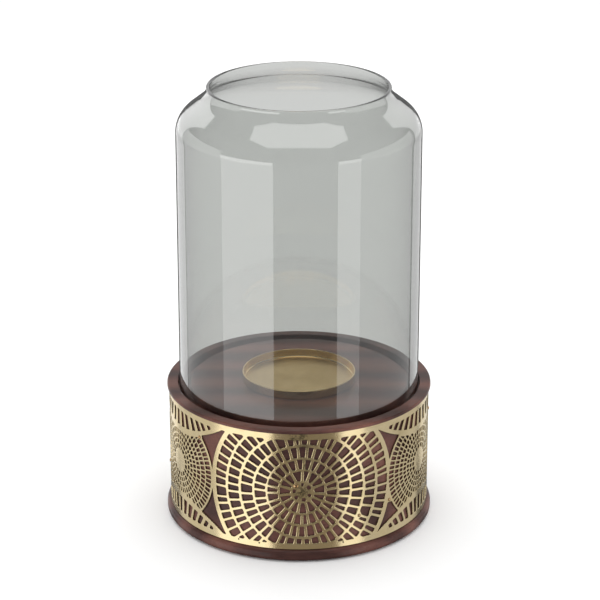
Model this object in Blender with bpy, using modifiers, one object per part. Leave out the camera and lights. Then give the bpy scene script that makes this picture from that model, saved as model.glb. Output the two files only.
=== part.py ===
"""Hurricane candle holder: a glass chimney and a brass candle plate on a round, turned wood base
that wears a pierced brass band.

Metres, +Z up. The origin is the centre of the underside, and the front of the band's pattern faces -Y.
Pieces that touch keep FIT_GAP of air between their faceted meshes.
"""

import math

import bmesh
import bpy
from mathutils import Matrix, Vector

# ---- Driving dimensions ------------------------------------------------------------------------
TOTAL_HEIGHT = 0.3048
BASE_RADIUS = 0.092075
FIT_GAP = 0.0003

# Wood base, from the floor up.
FELT_RADIUS = 0.080
FELT_THICKNESS = 0.0016
FELT_PROUD = 0.0006
PLINTH_TOP = 0.0083
PLINTH_EDGE_ROUND = 0.0030
DECK_Z = 0.0955
DECK_RADIUS = 0.0746
GROOVE_RADIUS = 0.0832
GROOVE_DEPTH = 0.0050
LIP_RADIUS = 0.0908
LIP_HEIGHT = 0.0022
LIP_TOP_ROUND = 0.0010
BAND_SEAT_RADIUS = 0.0885

# Pierced brass band.
BAND_THICKNESS = 0.0008
BAND_BORDER = 0.0050
SEAM_GAP = 0.0003
BAND_FACETS = 60

# Glass chimney.
GLASS_RADIUS = 0.0822
GLASS_WALL = 0.0023
MOUTH_RADIUS = 0.0614
SHOULDER_RADIUS = 0.0190
SHOULDER_FACETS = 5
# Below the rim the wall bends outwards: radius, turn in degrees and facets of each bend.
NECK_BENDS = ((0.008, 30.0, 2), (0.016, 22.0, 1))
FOOT_ROUND = 0.0008

# Candle plate.
PLATE_RADIUS = 0.0389
PLATE_HEIGHT = 0.0064
PLATE_WALL = 0.0009
PLATE_CORNER = 0.0010

# Fasteners.
PIN_SHANK_RADIUS = 0.0006
PIN_HEAD_RADIUS = 0.0013
PIN_HEAD_HEIGHT = 0.0007
PIN_LENGTH = 0.0100
SCREW_CIRCLE_RADIUS = 0.055
SCREW_SHANK_RADIUS = 0.0019
SCREW_HEAD_RADIUS = 0.0040
SCREW_HEAD_HEIGHT = 0.0024
SCREW_TIP_Z = 0.0260
SCREW_COUNT = 4

# ---- Values that follow from the driving dimensions -------------------------------------------
PLINTH_BOTTOM = FELT_PROUD
FELT_RECESS_TOP = FELT_THICKNESS + FIT_GAP
DRUM_BOTTOM = PLINTH_TOP + FIT_GAP
LIP_UNDERSIDE = DECK_Z - LIP_HEIGHT
BAND_INNER_RADIUS = BAND_SEAT_RADIUS + FIT_GAP
BAND_MID_RADIUS = BAND_INNER_RADIUS + BAND_THICKNESS / 2
BAND_OUTER_RADIUS = BAND_INNER_RADIUS + BAND_THICKNESS
BAND_LOW = DRUM_BOTTOM
BAND_HIGH = LIP_UNDERSIDE - FIT_GAP
BAND_MIDDLE = (BAND_LOW + BAND_HIGH) / 2
CHIMNEY_FOOT = DECK_Z - GROOVE_DEPTH + FIT_GAP
PLATE_BOTTOM = DECK_Z + FIT_GAP
SCREW_HEAD_FACE = FELT_RECESS_TOP + FIT_GAP
SHOULDER_LEAN = sum(turn for radius, turn, facets in NECK_BENDS)

# ---- The band's pattern, on the unrolled strip: x along it from the front, y up from its middle -
PATTERN_TURN = 1.45
WHEEL_RADIUS = 0.0663
FINE_RADIUS = 0.0397
FAN_RADIUS = 0.0875
FAN_REACH = 0.0235
FAN_RIM = 0.0033
FAN_PITCH = 0.0090
FAN_FOCUS = 0.065
WEB = 0.0026
LEAST_SLOT = 0.0030

# Each ring of a wheel or of a fine rosette: inner radius, outer radius, number of slots.
WHEEL_RINGS = ((0.0085, 0.0165, 8), (0.0195, 0.0295, 14), (0.0325, 0.0430, 20), (0.0457, 0.0622, 26))
FINE_RINGS = ((0.0080, 0.0165, 8), (0.0195, 0.0365, 18))

# Angles in degrees from the front wheel's centre.
WHEEL_CENTRES = (-132.6, 0.0, 131.1)
FINE_CENTRES = (-66.75, 65.1)
# Brads through the band: angle from a wheel's centre, height over the band's middle.
WHEEL_PINS = ((-2.65, 0.0047), (25.05, -0.0213))
BETWEEN_PINS = ((-49.62, 0.0269), (82.23, 0.0269), (41.4, -0.0165), (-90.45, -0.0165))
PIN_CLEARANCE = 0.0016
SEAM_PIN_OFFSET = 3.0
SEAM_PIN_HEIGHTS = (-0.030, 0.0, 0.030)
PIN_HOLE_RADIUS = PIN_SHANK_RADIUS + FIT_GAP


# ---- Helpers -----------------------------------------------------------------------------------
def clear_scene():
    for item in list(bpy.data.objects):
        bpy.data.objects.remove(item)


def make_collection(name):
    collection = bpy.data.collections.new(name)
    bpy.context.scene.collection.children.link(collection)
    return collection


def make_material(name, colour, roughness, metallic=0.0, transmission=0.0):
    material = bpy.data.materials.new(name)
    material.use_nodes = True
    shader = material.node_tree.nodes["Principled BSDF"]
    shader.inputs["Base Color"].default_value = (*colour, 1.0)
    shader.inputs["Roughness"].default_value = roughness
    shader.inputs["Metallic"].default_value = metallic
    shader.inputs["Transmission Weight"].default_value = transmission
    return material


def add_object(name, mesh, collection, material=None):
    piece = bpy.data.objects.new(name, mesh)
    collection.objects.link(piece)
    if material and not mesh.materials:
        mesh.materials.append(material)
    return piece


def arc(centre_x, centre_z, radius, start_degrees, end_degrees, steps):
    """Points along an arc in a profile's plane, both ends included."""
    points = []
    for index in range(steps + 1):
        angle = math.radians(start_degrees + (end_degrees - start_degrees) * index / steps)
        points.append((centre_x + radius * math.cos(angle), centre_z + radius * math.sin(angle)))
    return points


def add_turned(name, profile, facets, collection, material, closed=False):
    """A profile of (radius, height) points, run down its outer side, turned about Z."""
    count = len(profile)
    edges = [(index, (index + 1) % count) for index in range(count if closed else count - 1)]
    mesh = bpy.data.meshes.new(name)
    mesh.from_pydata([(radius, 0.0, height) for radius, height in profile], edges, [])
    piece = add_object(name, mesh, collection, material)
    screw = piece.modifiers.new("turn", "SCREW")
    screw.steps = facets
    screw.render_steps = facets
    screw.use_smooth_shade = True
    screw.use_merge_vertices = True
    screw.merge_threshold = 0.00001
    return piece


def cut(piece, cutter):
    modifier = piece.modifiers.new("cut_" + cutter.name, "BOOLEAN")
    modifier.operation = "DIFFERENCE"
    modifier.solver = "EXACT"
    modifier.object = cutter


def add_cutter(name, mesh, collection):
    cutter = add_object(name, mesh, collection)
    cutter.hide_render = True
    cutter.display_type = "WIRE"
    return cutter


def radial_place(angle_degrees, height, radius):
    """The placement whose +Z points straight out of the base's side, at this angle from the front."""
    angle = math.radians(angle_degrees)
    outward = Vector((math.sin(angle), -math.cos(angle), 0.0))
    turn = outward.to_track_quat("Z", "Y").to_matrix().to_4x4()
    return Matrix.Translation(outward * radius + Vector((0.0, 0.0, height))) @ turn


# ---- Wood base ---------------------------------------------------------------------------------
def add_drum(collection, material):
    """The solid turned drum: flat deck, groove for the glass, lip over the band, seat for the band."""
    edge = 0.0005
    floor = DECK_Z - GROOVE_DEPTH
    profile = [(0.0, DECK_Z)]
    profile += arc(DECK_RADIUS - edge, DECK_Z - edge, edge, 90, 0, 1)
    profile += [(DECK_RADIUS, floor), (GROOVE_RADIUS, floor)]
    profile += arc(GROOVE_RADIUS + edge, DECK_Z - edge, edge, 180, 90, 1)
    profile += arc(LIP_RADIUS - LIP_TOP_ROUND, DECK_Z - LIP_TOP_ROUND, LIP_TOP_ROUND, 90, 0, 3)
    profile += [(LIP_RADIUS, LIP_UNDERSIDE), (BAND_SEAT_RADIUS, LIP_UNDERSIDE)]
    profile += [(BAND_SEAT_RADIUS, DRUM_BOTTOM), (0.0, DRUM_BOTTOM)]
    return add_turned("base_drum", profile, BAND_FACETS, collection, material)


def add_plinth(collection, material):
    """The wider bottom disc with a rounded edge, recessed underneath for the felt."""
    middle = BASE_RADIUS - PLINTH_EDGE_ROUND
    profile = [(0.0, PLINTH_TOP)]
    profile += arc(middle, PLINTH_TOP - PLINTH_EDGE_ROUND, PLINTH_EDGE_ROUND, 90, 0, 4)
    profile += arc(middle, PLINTH_BOTTOM + PLINTH_EDGE_ROUND, PLINTH_EDGE_ROUND, 0, -90, 3)
    profile += [(FELT_RADIUS + FIT_GAP, PLINTH_BOTTOM), (FELT_RADIUS + FIT_GAP, FELT_RECESS_TOP)]
    profile += [(0.0, FELT_RECESS_TOP)]
    return add_turned("base_plinth", profile, BAND_FACETS, collection, material)


def add_felt(collection, material):
    profile = [(0.0, FELT_THICKNESS), (FELT_RADIUS, FELT_THICKNESS), (FELT_RADIUS, 0.0), (0.0, 0.0)]
    return add_turned("felt_pad", profile, 48, collection, material)


# ---- Glass chimney -----------------------------------------------------------------------------
def bend_width(radius, lean, next_lean):
    """How far outwards a bend takes the wall, from one lean to another."""
    return radius * abs(math.cos(math.radians(lean)) - math.cos(math.radians(next_lean)))


def shoulder_curve(inset):
    """Rim to straight wall, on the outer face or inset from it: hollow neck, straight slope, round shoulder."""
    r = MOUTH_RADIUS - inset
    z = TOTAL_HEIGHT - GLASS_WALL / 2
    lean = 0.0
    left = GLASS_RADIUS - MOUTH_RADIUS - bend_width(SHOULDER_RADIUS, SHOULDER_LEAN, 0.0)
    points = [(r, z)]
    for bend, turn, facets in NECK_BENDS:
        tilt = math.radians(lean)
        radius = bend + inset
        centre_r = r + radius * math.cos(tilt)
        centre_z = z + radius * math.sin(tilt)
        points += arc(centre_r, centre_z, radius, 180 + lean, 180 + lean + turn, facets)[1:]
        left -= bend_width(bend, lean, lean + turn)
        r, z = points[-1]
        lean += turn
    tilt = math.radians(lean)
    r += left
    z -= left / math.tan(tilt)
    radius = SHOULDER_RADIUS - inset
    return points + arc(r - radius * math.cos(tilt), z - radius * math.sin(tilt), radius, lean, 0, SHOULDER_FACETS)


def chimney_profile():
    """Round rim, neck, shoulder and straight body, open at both ends; the wall has one thickness."""
    lip = GLASS_WALL / 2
    outer = shoulder_curve(0.0)
    outer += arc(GLASS_RADIUS - FOOT_ROUND, CHIMNEY_FOOT + FOOT_ROUND, FOOT_ROUND, 0, -90, 2)
    inner_foot = GLASS_RADIUS - GLASS_WALL + FOOT_ROUND
    inner = arc(inner_foot, CHIMNEY_FOOT + FOOT_ROUND, FOOT_ROUND, -90, -180, 2)
    inner += shoulder_curve(GLASS_WALL)[::-1]
    rim = arc(MOUTH_RADIUS - lip, TOTAL_HEIGHT - lip, lip, 180, 45, 3)[1:]
    return outer + inner + rim


def add_chimney(collection, material):
    return add_turned("glass_chimney", chimney_profile(), 48, collection, material, closed=True)


# ---- Candle plate ------------------------------------------------------------------------------
def add_candle_plate(collection, material):
    """A shallow flat-bottomed dish; a pillar candle stands on its floor."""
    floor = PLATE_BOTTOM + PLATE_WALL
    top = PLATE_BOTTOM + PLATE_HEIGHT
    inner = PLATE_RADIUS - PLATE_WALL
    half = PLATE_WALL / 2
    profile = [(0.0, floor), (inner - PLATE_CORNER, floor), (inner - 0.0002, floor + PLATE_CORNER)]
    profile += arc(PLATE_RADIUS - half, top - half, half, 180, 0, 4)
    profile += arc(PLATE_RADIUS - PLATE_CORNER, PLATE_BOTTOM + PLATE_CORNER, PLATE_CORNER, 0, -90, 3)
    profile += [(0.0, PLATE_BOTTOM)]
    return add_turned("candle_plate", profile, 48, collection, material)


# ---- Pierced brass band ------------------------------------------------------------------------
def along(angle_degrees):
    """Distance along the unrolled strip to this angle from the front."""
    return math.radians(angle_degrees) * BAND_MID_RADIUS


def ring_slots(centre, inner, outer, count):
    """Tapered slots between spokes of one width, round a centre on the strip."""
    slots = []
    pitch = 2 * math.pi / count
    for index in range(count):
        start = index * pitch
        corners = []
        for radius, side in ((inner, 1), (outer, 1), (outer, -1), (inner, -1)):
            angle = start + side * (pitch / 2 - WEB / (2 * radius))
            corners.append((centre[0] + radius * math.cos(angle), centre[1] + radius * math.sin(angle)))
        slots.append(corners)
    return slots


def circle_crossing(first, first_radius, second, second_radius, side):
    """One of the two points where two circles cross: the left one from first to second, or the right."""
    span = second - first
    distance = span.length
    ahead = (first_radius**2 - second_radius**2 + distance**2) / (2 * distance)
    aside = math.sqrt(max(first_radius**2 - ahead**2, 0.0))
    unit = span.normalized()
    return first + unit * ahead + Vector((-unit.y, unit.x)) * aside * side


def arc_between(centre, start, end, steps):
    """Points on a circle from start towards end, the short way, without the end point."""
    first = math.atan2(start.y - centre.y, start.x - centre.x)
    turn = math.atan2(end.y - centre.y, end.x - centre.x) - first
    turn = (turn + math.pi) % (2 * math.pi) - math.pi
    radius = (start - centre).length
    points = []
    for index in range(steps):
        angle = first + turn * index / steps
        points.append((centre.x + radius * math.cos(angle), centre.y + radius * math.sin(angle)))
    return points


def window(wheel_x, fine_x, up, pins):
    """The open three-sided window between a wheel, a fine rosette and the fan above or below it."""
    right = 1 if fine_x > wheel_x else -1
    wheel = Vector((wheel_x, 0.0))
    fine = Vector((fine_x, 0.0))
    fan = Vector((fine_x, up * (FAN_REACH + FAN_RADIUS)))
    by_border = circle_crossing(wheel, WHEEL_RADIUS, fan, FAN_RADIUS, right * up)
    by_fine = circle_crossing(fine, FINE_RADIUS, fan, FAN_RADIUS, right * up)
    by_wheel = circle_crossing(wheel, WHEEL_RADIUS, fine, FINE_RADIUS, right * up)
    points = arc_between(wheel, by_border, by_wheel, 5)
    points += arc_between(fine, by_wheel, by_fine, 4)
    points += arc_between(fan, by_fine, by_border, 4)
    tip = abs(by_wheel.y)
    for x, y in pins:
        if abs(x - by_wheel.x) < 0.003 and y * up > 0 and abs(y) > tip - PIN_CLEARANCE:
            tip = abs(y) + PIN_CLEARANCE + 0.0003
    border = BAND_HIGH - BAND_MIDDLE - BAND_BORDER
    return clipped(points, tip, border) if up > 0 else clipped(points, -border, -tip)


def fan_slots(fine_x, up):
    """Upright slots of a half-moon fan that grows from the band's border."""
    focus = Vector((fine_x, up * (FAN_REACH + FAN_RADIUS)))
    border = BAND_HIGH - BAND_MIDDLE - BAND_BORDER
    slots = []
    for step in range(-3, 4):
        aside = step * FAN_PITCH
        low = abs(focus.y) - math.sqrt((FAN_RADIUS - FAN_RIM) ** 2 - aside**2)
        lean = aside * (border - low) / FAN_FOCUS
        half = 0.0025
        corners = [(fine_x + aside - lean - half, up * border), (fine_x + aside - lean + half, up * border)]
        corners += [(fine_x + aside + half, up * low), (fine_x + aside - half, up * low)]
        slots.append(corners)
    return slots


def pin_places():
    """(angle, height) of every brad, in degrees from the front and metres."""
    places = []
    for centre in WHEEL_CENTRES:
        for angle, height in WHEEL_PINS:
            places.append((PATTERN_TURN + centre + angle, BAND_MIDDLE + height))
    for angle, height in BETWEEN_PINS:
        places.append((PATTERN_TURN + angle, BAND_MIDDLE + height))
    for side in (-1, 1):
        for height in SEAM_PIN_HEIGHTS:
            places.append((180.0 + side * SEAM_PIN_OFFSET, BAND_MIDDLE + height))
    return places


def clipped(corners, low, high):
    """The part of an opening that lies between two heights."""
    for side, limit in ((-1, -low), (1, high)):
        kept = []
        for (x, y), (next_x, next_y) in zip(corners, corners[1:] + corners[:1]):
            inside = side * y <= limit
            if inside:
                kept.append((x, y))
            if inside != (side * next_y <= limit):
                share = (side * limit - y) / (next_y - y)
                kept.append((x + (next_x - x) * share, side * limit))
        corners = kept
    return corners


def between_borders(slot):
    """The part of a slot that lies between the band's plain borders, or None if too little is left."""
    limit = BAND_HIGH - BAND_MIDDLE - BAND_BORDER
    slot = clipped(slot, -limit, limit)
    if not slot:
        return None
    heights = [y for x, y in slot]
    widths = [x for x, y in slot]
    if max(heights) - min(heights) < LEAST_SLOT or max(widths) - min(widths) < LEAST_SLOT:
        return None
    return slot


def under_fans(slot, fine_x):
    """True where a slot of a fine rosette stays clear of the fans above and below it."""
    reach = FAN_REACH + FAN_RADIUS
    return all(math.hypot(x - fine_x, abs(y) - reach) > FAN_RADIUS + 0.0010 for x, y in slot)


def distance_to_side(point, start, end):
    side = end - start
    share = max(0.0, min(1.0, (point - start).dot(side) / side.length_squared))
    return (point - start - side * share).length


def clear_of_pins(slot, pins):
    corners = [Vector(corner) for corner in slot]
    for pin in pins:
        for start, end in zip(corners, corners[1:] + corners[:1]):
            if distance_to_side(Vector(pin), start, end) < PIN_CLEARANCE:
                return False
    return True


def wrapped(angle_degrees):
    return (angle_degrees + 180.0) % 360.0 - 180.0


def band_openings():
    """Every opening of the strip as a list of corners, and every brad hole's centre."""
    pins = [(along(wrapped(angle)), height - BAND_MIDDLE) for angle, height in pin_places()]
    openings = []
    for centre in WHEEL_CENTRES:
        middle = (along(PATTERN_TURN + centre), 0.0)
        for inner, outer, count in WHEEL_RINGS:
            for slot in ring_slots(middle, inner, outer, count):
                slot = between_borders(slot)
                if slot and clear_of_pins(slot, pins):
                    openings.append(slot)
    for centre in FINE_CENTRES:
        middle = (along(PATTERN_TURN + centre), 0.0)
        for inner, outer, count in FINE_RINGS:
            for slot in ring_slots(middle, inner, outer, count):
                if under_fans(slot, middle[0]) and clear_of_pins(slot, pins):
                    openings.append(slot)
        for up in (-1, 1):
            openings += fan_slots(middle[0], up)
            for neighbour in WHEEL_CENTRES:
                if abs(neighbour - centre) < 90.0:
                    wheel_x = along(PATTERN_TURN + neighbour)
                    openings.append(window(wheel_x, middle[0], up, pins))
    return openings, pins


def add_band(collection, material):
    """A flat pierced strip, rolled round the drum, with a butt seam at the back."""
    length = 2 * math.pi * BAND_MID_RADIUS - SEAM_GAP
    half_height = (BAND_HIGH - BAND_LOW) / 2
    outline = [(-length / 2, -half_height), (length / 2, -half_height)]
    outline += [(length / 2, half_height), (-length / 2, half_height)]
    openings, pins = band_openings()
    for x, y in pins:
        openings.append([(x + dx, y + dy) for dx, dy in arc(0.0, 0.0, PIN_HOLE_RADIUS, 22.5, 337.5, 7)])
    curve = bpy.data.curves.new("band_strip", "CURVE")
    curve.dimensions = "2D"
    curve.fill_mode = "BOTH"
    curve.extrude = BAND_THICKNESS / 2
    for points in [outline] + openings:
        spline = curve.splines.new("POLY")
        spline.points.add(len(points) - 1)
        for point, (x, y) in zip(spline.points, points):
            point.co = (x, y, 0.0, 1.0)
        spline.use_cyclic_u = True
    flat = bpy.data.objects.new("band_strip", curve)
    collection.objects.link(flat)
    bpy.context.view_layer.update()
    mesh = bpy.data.meshes.new_from_object(flat.evaluated_get(bpy.context.evaluated_depsgraph_get()))
    bpy.data.objects.remove(flat)
    mesh.name = "brass_band"
    roll_strip(mesh)
    mesh.materials.clear()
    return add_object("brass_band", mesh, collection, material)


def rolled(flat):
    """A point of the flat strip, moved onto the flat facet of the ring that it belongs to."""
    step = 2 * math.pi / BAND_FACETS
    place = (flat.x / BAND_MID_RADIUS + math.pi) / step
    facet = math.floor(place + 0.00001)
    radius = BAND_MID_RADIUS + flat.z
    ends = []
    for index in (facet, facet + 1):
        angle = index * step - math.pi
        ends.append(Vector((radius * math.sin(angle), -radius * math.cos(angle), BAND_MIDDLE + flat.y)))
    return ends[0].lerp(ends[1], place - facet)


def roll_strip(mesh):
    """Cuts the flat strip across at every facet of the drum, then rolls it into a ring."""
    body = bmesh.new()
    body.from_mesh(mesh)
    bmesh.ops.remove_doubles(body, verts=body.verts, dist=0.00001)
    for index in range(BAND_FACETS + 1):
        cut_x = along(-180.0 + index * 360.0 / BAND_FACETS)
        everything = body.verts[:] + body.edges[:] + body.faces[:]
        bmesh.ops.bisect_plane(body, geom=everything, dist=0.00005, plane_co=(cut_x, 0, 0), plane_no=(1, 0, 0))
    for vert in body.verts:
        vert.co = rolled(vert.co)
    bmesh.ops.recalc_face_normals(body, faces=body.faces)
    bmesh.ops.dissolve_limit(body, angle_limit=math.radians(0.5), verts=body.verts, edges=body.edges)
    body.to_mesh(mesh)
    body.free()


# ---- Fasteners ---------------------------------------------------------------------------------
def add_pins(drum, collection, cutters, material):
    """Domed brads that hold the band on the drum, each in a drilled hole."""
    profile = [(0.0, PIN_HEAD_HEIGHT), (PIN_HEAD_RADIUS * 0.6, PIN_HEAD_HEIGHT * 0.75), (PIN_HEAD_RADIUS, 0.0)]
    profile += [(PIN_SHANK_RADIUS, 0.0), (PIN_SHANK_RADIUS, -PIN_LENGTH * 0.85), (0.0, -PIN_LENGTH)]
    seat = BAND_OUTER_RADIUS + FIT_GAP
    hole_depth = seat - BAND_SEAT_RADIUS + PIN_LENGTH
    bores = bmesh.new()
    for index, (angle, height) in enumerate(pin_places()):
        pin = add_turned(f"band_pin_{index + 1:02d}", profile, 8, collection, material)
        pin.matrix_world = radial_place(angle, height, seat)
        bore_place = radial_place(angle, height, BAND_SEAT_RADIUS - hole_depth / 2 + 0.001)
        bmesh.ops.create_cone(
            bores, cap_ends=True, segments=8, radius1=PIN_HOLE_RADIUS, radius2=PIN_HOLE_RADIUS,
            depth=hole_depth, matrix=bore_place,
        )
    mesh = bpy.data.meshes.new("pin_bores")
    bores.to_mesh(mesh)
    bores.free()
    cut(drum, add_cutter("pin_bores", mesh, cutters))


def screw_profile():
    """Countersunk wood screw, head down, with its driven face at SCREW_HEAD_FACE."""
    tip = SCREW_TIP_Z
    neck = SCREW_HEAD_FACE + SCREW_HEAD_HEIGHT
    profile = [(0.0, tip), (SCREW_SHANK_RADIUS, tip - 0.004), (SCREW_SHANK_RADIUS, neck)]
    profile += [(SCREW_HEAD_RADIUS, SCREW_HEAD_FACE + 0.0003), (SCREW_HEAD_RADIUS, SCREW_HEAD_FACE)]
    profile += [(0.0, SCREW_HEAD_FACE)]
    return profile


def screw_hole_profile():
    """The screw's outline made FIT_GAP larger all round, down through the recess for the felt."""
    shank = SCREW_SHANK_RADIUS + FIT_GAP
    head = SCREW_HEAD_RADIUS + FIT_GAP
    profile = [(0.0, SCREW_TIP_Z + FIT_GAP), (shank, SCREW_TIP_Z + FIT_GAP)]
    profile += [(shank, SCREW_HEAD_FACE + SCREW_HEAD_HEIGHT + FIT_GAP), (head, SCREW_HEAD_FACE + 2 * FIT_GAP)]
    profile += [(head, PLINTH_BOTTOM), (0.0, PLINTH_BOTTOM)]
    return profile


def add_screws(drum, plinth, collection, cutters, material):
    """Wood screws that pull the plinth up against the drum, under the felt."""
    slot = bmesh.new()
    bmesh.ops.create_cube(slot, size=1.0, matrix=Matrix.Diagonal((0.0052, 0.0011, 0.0016, 1.0)))
    slot_mesh = bpy.data.meshes.new("driver_slot")
    slot.to_mesh(slot_mesh)
    slot.free()
    for index in range(SCREW_COUNT):
        angle = math.radians(45.0 + index * 360.0 / SCREW_COUNT)
        place = Vector((SCREW_CIRCLE_RADIUS * math.cos(angle), SCREW_CIRCLE_RADIUS * math.sin(angle), 0.0))
        screw = add_turned(f"plinth_screw_{index + 1}", screw_profile(), 12, collection, material)
        screw.location = place
        slot_cutter = add_cutter(f"driver_slot_{index + 1}", slot_mesh, cutters)
        slot_cutter.location = place + Vector((0.0, 0.0, SCREW_HEAD_FACE))
        cut(screw, slot_cutter)
        hole = add_turned(f"screw_hole_{index + 1}", screw_hole_profile(), 12, cutters, None)
        hole.hide_render = True
        hole.display_type = "WIRE"
        hole.location = place
        cut(drum, hole)
        cut(plinth, hole)


# ---- The whole object --------------------------------------------------------------------------
def main():
    clear_scene()
    parts = make_collection("hurricane_candle_holder")
    cutters = make_collection("cutters")
    wood = make_material("stained_wood", (0.105, 0.058, 0.050), 0.38)
    band_brass = make_material("band_brass", (0.72, 0.58, 0.34), 0.28, metallic=1.0)
    plate_brass = make_material("plate_brass", (0.70, 0.54, 0.30), 0.32, metallic=1.0)
    glass = make_material("clear_glass", (0.86, 0.89, 0.87), 0.03, transmission=1.0)
    felt = make_material("black_felt", (0.02, 0.02, 0.02), 0.95)
    steel = make_material("screw_steel", (0.55, 0.55, 0.56), 0.35, metallic=1.0)
    drum = add_drum(parts, wood)
    plinth = add_plinth(parts, wood)
    add_felt(parts, felt)
    add_band(parts, band_brass)
    add_pins(drum, parts, cutters, band_brass)
    add_screws(drum, plinth, parts, cutters, steel)
    add_chimney(parts, glass)
    add_candle_plate(parts, plate_brass)
    bpy.context.view_layer.update()


main()
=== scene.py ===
"""Looks for a hurricane candle holder: glass chimney, turned wood base, pierced brass band, brass plate.

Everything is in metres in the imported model's frame: +Z up, the front of the band's pattern towards -Y.
"""

import math
import random

import bpy
from mathutils import Matrix, Vector, geometry


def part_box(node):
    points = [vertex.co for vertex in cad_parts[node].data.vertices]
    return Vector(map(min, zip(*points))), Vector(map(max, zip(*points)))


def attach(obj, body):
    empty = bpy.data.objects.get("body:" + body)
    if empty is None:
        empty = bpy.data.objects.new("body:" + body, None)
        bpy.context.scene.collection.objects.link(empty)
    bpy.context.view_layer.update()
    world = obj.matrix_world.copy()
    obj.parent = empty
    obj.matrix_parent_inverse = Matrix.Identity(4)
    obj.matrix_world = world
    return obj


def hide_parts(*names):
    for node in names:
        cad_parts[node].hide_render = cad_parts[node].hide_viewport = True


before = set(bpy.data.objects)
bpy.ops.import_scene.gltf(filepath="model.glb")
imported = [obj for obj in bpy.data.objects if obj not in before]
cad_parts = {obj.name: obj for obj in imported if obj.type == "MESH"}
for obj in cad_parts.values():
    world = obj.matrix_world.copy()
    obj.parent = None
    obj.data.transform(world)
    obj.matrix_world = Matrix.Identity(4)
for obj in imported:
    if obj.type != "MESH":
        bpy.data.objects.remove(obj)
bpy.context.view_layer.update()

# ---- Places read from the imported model, and the CAD's own measures ------------------------------
DRUM_LOW, DRUM_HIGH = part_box("base_drum")
PLINTH_LOW, PLINTH_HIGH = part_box("base_plinth")
FELT_LOW, FELT_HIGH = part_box("felt_pad")
BAND_LOW, BAND_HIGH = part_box("brass_band")
GLASS_LOW, GLASS_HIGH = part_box("glass_chimney")
PLATE_LOW, PLATE_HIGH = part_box("candle_plate")

DECK_Z = DRUM_HIGH.z
LIP_RADIUS = DRUM_HIGH.x
DECK_RADIUS = 0.0746
GROOVE_RADIUS = 0.0832
GROOVE_DEPTH = 0.0050
LIP_HEIGHT = 0.0022
SEAT_RADIUS = 0.0885
PLINTH_RADIUS = PLINTH_HIGH.x
FELT_RADIUS = FELT_HIGH.x
BAND_THICKNESS = 0.0008
BAND_OUTER = BAND_HIGH.x
BAND_MID = BAND_OUTER - BAND_THICKNESS / 2
BAND_CENTRE_Z = (BAND_LOW.z + BAND_HIGH.z) / 2
BAND_HALF = (BAND_HIGH.z - BAND_LOW.z) / 2
GLASS_RADIUS = GLASS_HIGH.x
GLASS_WALL = 0.0023
GLASS_FOOT = 0.0008
MOUTH_RADIUS = 0.0614
SHOULDER_RADIUS = 0.0190
NECK_BENDS = ((0.008, 30.0), (0.016, 22.0))
PLATE_RADIUS = PLATE_HIGH.x
PLATE_BRIGHT_EDGE = 0.0022
FITTED_GAP = 0.0003

# A turned profile shows an edge where it bends by more than this, in degrees.
SHARP_ANGLE = 40.0
ON_AXIS = 1e-7


# ---- Mesh helpers -------------------------------------------------------------------------------
def turned_place(angle, radius, z):
    """The point at an angle in degrees from the front, positive towards +X."""
    turn = math.radians(angle)
    return Vector((radius * math.sin(turn), -radius * math.cos(turn), z))


def arc(cx, cz, radius, start, end, steps):
    """Points of an arc between two angles in degrees."""
    points = []
    for i in range(steps + 1):
        a = math.radians(start + (end - start) * i / steps)
        points.append((cx + radius * math.cos(a), cz + radius * math.sin(a)))
    return points


def lathe(name, profile, segments, closed=False):
    """Turns a (radius, height) profile about Z. The profile runs down the outside, so faces look out.

    Normals are set from the profile: long straight walls keep exact normals beside tight rounds.
    """
    count = len(profile)
    spans = count if closed else count - 1
    normals = []
    lengths = []
    for i in range(spans):
        r0, z0 = profile[i]
        r1, z1 = profile[(i + 1) % count]
        length = math.hypot(r1 - r0, z1 - z0)
        normals.append(Vector((z0 - z1, r1 - r0)) / length)
        lengths.append(length)
    limit = math.cos(math.radians(SHARP_ANGLE))

    def end_normal(span, other):
        if other is None or normals[span].dot(normals[other]) < limit:
            return normals[span]
        return (normals[span] * lengths[span] + normals[other] * lengths[other]).normalized()

    verts = []
    index = []
    for i, (r, z) in enumerate(profile):
        if r < ON_AXIS:
            index.append([len(verts)] * segments)
            verts.append((0.0, 0.0, z))
            continue
        index.append(list(range(len(verts), len(verts) + segments)))
        for s in range(segments):
            a = 2 * math.pi * s / segments
            verts.append((r * math.cos(a), r * math.sin(a), z))
    faces = []
    loops = []
    for i in range(spans):
        j = (i + 1) % count
        before = i - 1 if (i or closed) else None
        after = (i + 1) % spans if (i + 1 < spans or closed) else None
        first = end_normal(i, before)
        last = end_normal(i, after)
        for s in range(segments):
            t = (s + 1) % segments
            a0 = 2 * math.pi * s / segments
            a1 = 2 * math.pi * (s + 1) / segments
            corners = (
                (index[i][s], first, a0),
                (index[j][s], last, a0),
                (index[j][t], last, a1),
                (index[i][t], first, a1),
            )
            face = []
            for vert, normal, angle in corners:
                if face and vert in [f[0] for f in face]:
                    continue
                face.append((vert, (normal.x * math.cos(angle), normal.x * math.sin(angle), normal.y)))
            faces.append([f[0] for f in face])
            loops += [f[1] for f in face]
    mesh = bpy.data.meshes.new(name)
    mesh.from_pydata(verts, [], faces)
    mesh.polygons.foreach_set("use_smooth", [True] * len(faces))
    mesh.normals_split_custom_set(loops)
    return mesh


def added(name, data):
    """A new object with this data, in the scene."""
    obj = bpy.data.objects.new(name, data)
    bpy.context.scene.collection.objects.link(obj)
    return obj


def piece(name, mesh, material, body, slot, *nodes):
    obj = added(name, mesh)
    mesh.materials.append(material)
    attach(obj, body)
    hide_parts(*nodes)


def turned_piece(name, profile, segments, closed, *rest):
    piece(name, lathe(name, profile, segments, closed), *rest)


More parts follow.
